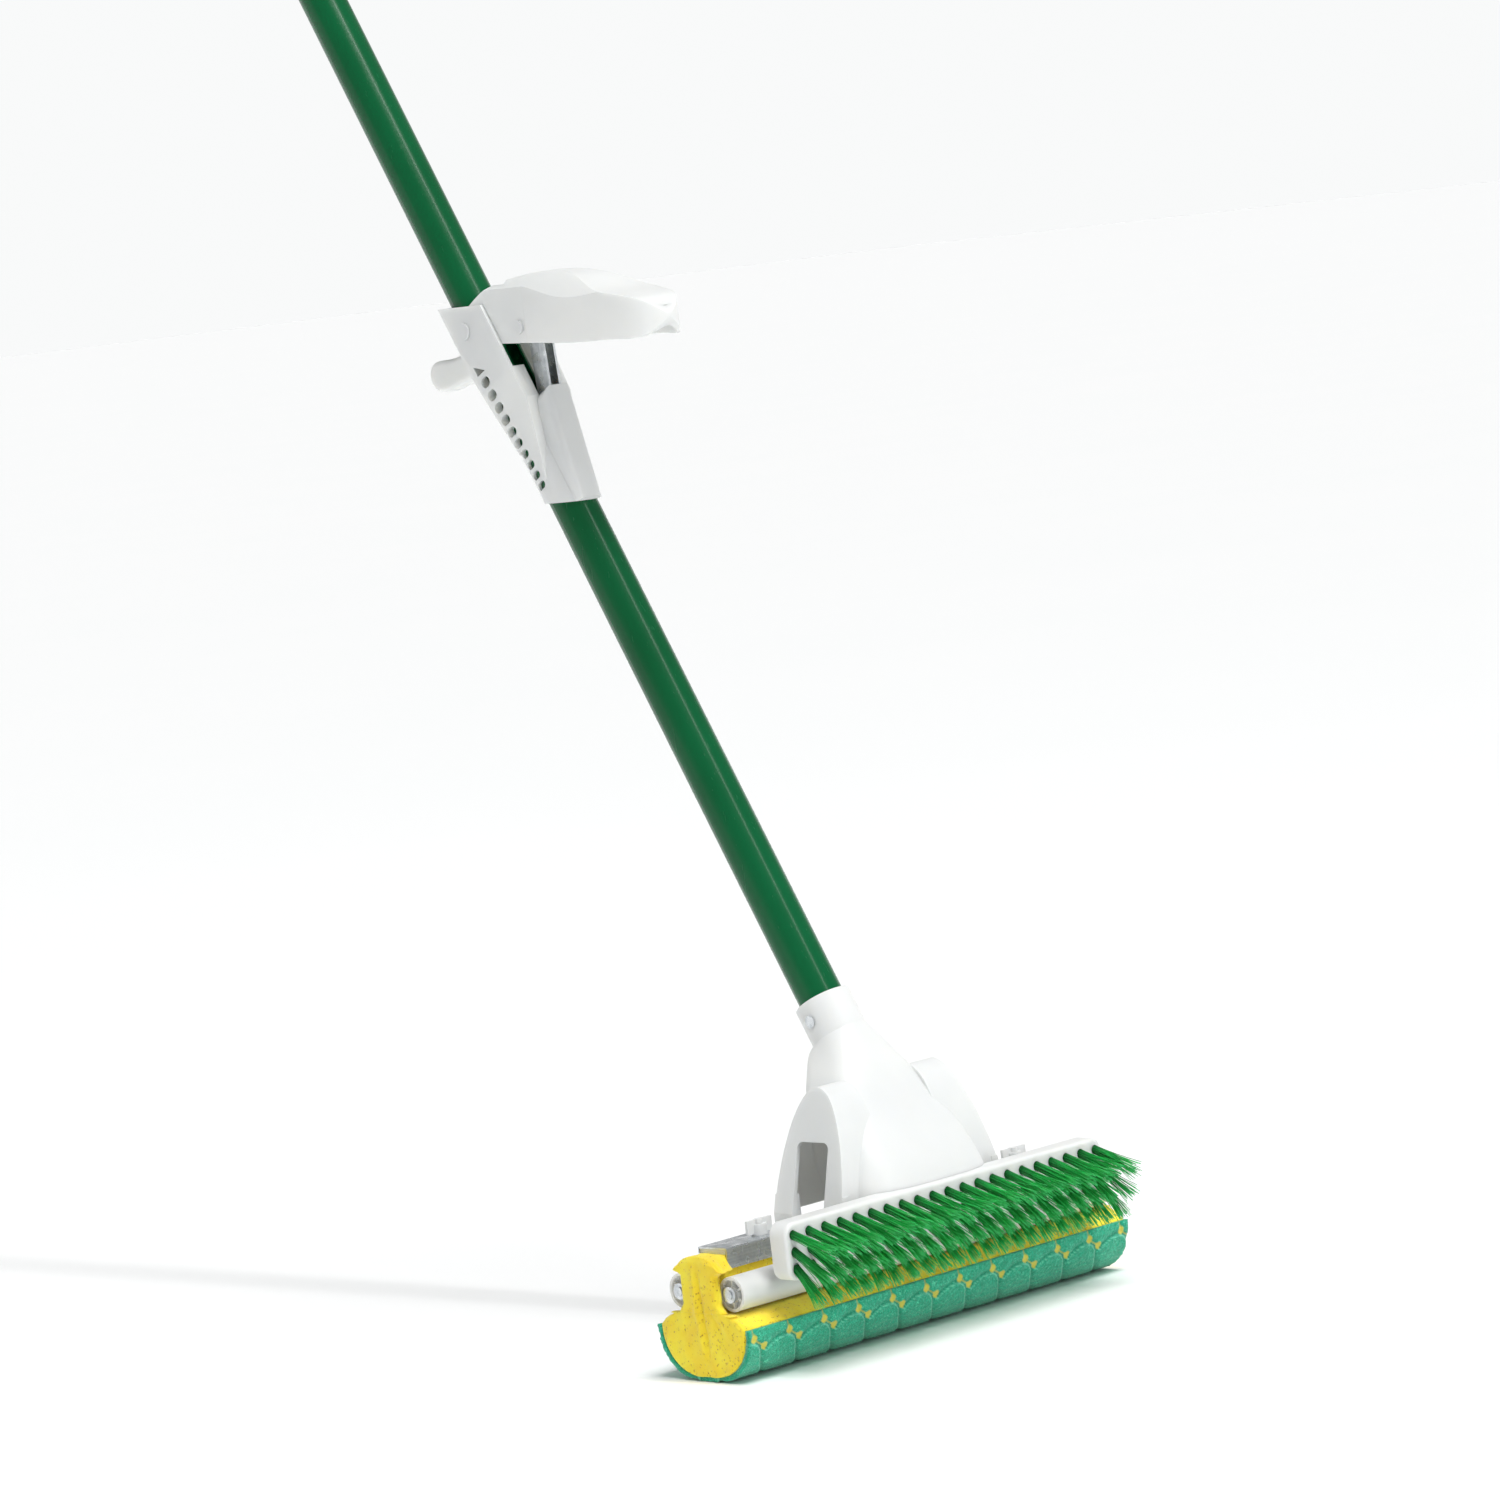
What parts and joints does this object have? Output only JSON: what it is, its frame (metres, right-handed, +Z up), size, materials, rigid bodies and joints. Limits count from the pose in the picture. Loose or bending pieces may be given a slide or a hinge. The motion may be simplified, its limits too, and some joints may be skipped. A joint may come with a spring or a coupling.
{
  "type": "twin-roller sponge mop with scrub brush",
  "caption": "Roller sponge mop: green steel handle, wringing lever with pull rod, white head with scrub brush, squeeze rollers and a yellow sponge with a green scrub pad.",
  "frame": {"origin": "middle of the sponge's flat underside, on the floor", "axes": "+Z up from the floor, +X along the sponge, brush to -Y, handle leaning to +Y"},
  "size_m": [0.292, 0.5974, 1.053],
  "materials": {
    "coated_steel": "gloss",
    "plated_steel": "satin",
    "white_plastic": "satin",
    "roller_plastic": "satin",
    "green_bristle": "satin",
    "yellow_foam": "matte",
    "green_pad": "matte"
  },
  "bodies": {
    "handle_frame": {"handle_tube": "coated_steel", "handle_end_cap": "white_plastic", "lever_housing": "white_plastic", "sleeve_rivet": "plated_steel", "lever_pivot_pin": "white_plastic", "head_housing": "white_plastic", "socket_screws": "plated_steel", "rod_guide_bush": "white_plastic", "brush_block": "white_plastic", "brush_screws": "plated_steel", "brush_tufts_top": "green_bristle", "brush_tufts_middle": "green_bristle", "brush_tufts_bottom": "green_bristle", "front_axle": "plated_steel", "rear_axle": "plated_steel", "push_nuts": "plated_steel"},
    "lever": {"wring_lever": "white_plastic", "lever_link_pin": "white_plastic"},
    "rod": {"link_strap_left": "plated_steel", "link_strap_right": "plated_steel", "rod_head": "white_plastic", "rod_head_pin": "plated_steel", "pull_rod": "plated_steel", "rod_tongue": "plated_steel", "rod_end_pin": "plated_steel"},
    "link": {"swing_link_left": "plated_steel", "swing_link_right": "plated_steel"},
    "carrier": {"sponge_channel": "plated_steel", "lift_bracket": "plated_steel", "lift_pin": "plated_steel", "wing_nuts": "white_plastic", "sponge_backing": "white_plastic", "sponge_neck": "yellow_foam", "sponge_body": "yellow_foam", "scrub_pad": "green_pad"},
    "front_roller": {"front_roller_left": "roller_plastic", "front_roller_centre": "roller_plastic", "front_roller_right": "roller_plastic"},
    "rear_roller": {"rear_roller_left": "roller_plastic", "rear_roller_centre": "roller_plastic", "rear_roller_right": "roller_plastic"}
  },
  "joints": [
    {"name": "lever_pull", "type": "hinge", "parent": "handle_frame", "child": "lever", "pos_m": [0, 0.24377, 0.55726], "axis": [-1, 0, 0], "range_deg": [0, 59]},
    {"name": "rod_slide", "type": "slide", "parent": "handle_frame", "child": "rod", "axis": [0, 0.4818, 0.8763], "range_m": [0, 0.04334]},
    {"name": "link_swing", "type": "hinge", "parent": "rod", "child": "link", "pos_m": [0, -0.00744, 0.10032], "axis": [-1, 0, 0], "range_deg": [0, 50.37]},
    {"name": "sponge_lift", "type": "slide", "parent": "handle_frame", "child": "carrier", "axis": [0, 0, 1], "range_m": [0, 0.03798], "deforming": ["sponge_body", "scrub_pad"]},
    {"name": "front_roller_spin", "type": "hinge", "parent": "handle_frame", "child": "front_roller", "pos_m": [0, -0.0192, 0.0465], "axis": [1, 0, 0], "range_deg": [0, 231.7]},
    {"name": "rear_roller_spin", "type": "hinge", "parent": "handle_frame", "child": "rear_roller", "pos_m": [0, 0.0192, 0.0465], "axis": [-1, 0, 0], "range_deg": [0, 231.7]}
  ],
  "couplings": [
    {"joint": "rod_slide", "follows": "lever_pull", "m_per_rad": 0.042082},
    {"joint": "link_swing", "follows": "lever_pull", "ratio": 0.85295},
    {"joint": "sponge_lift", "follows": "lever_pull", "m_per_rad": 0.036876},
    {"joint": "front_roller_spin", "follows": "lever_pull", "ratio": 3.923},
    {"joint": "rear_roller_spin", "follows": "lever_pull", "ratio": 3.923}
  ]
}
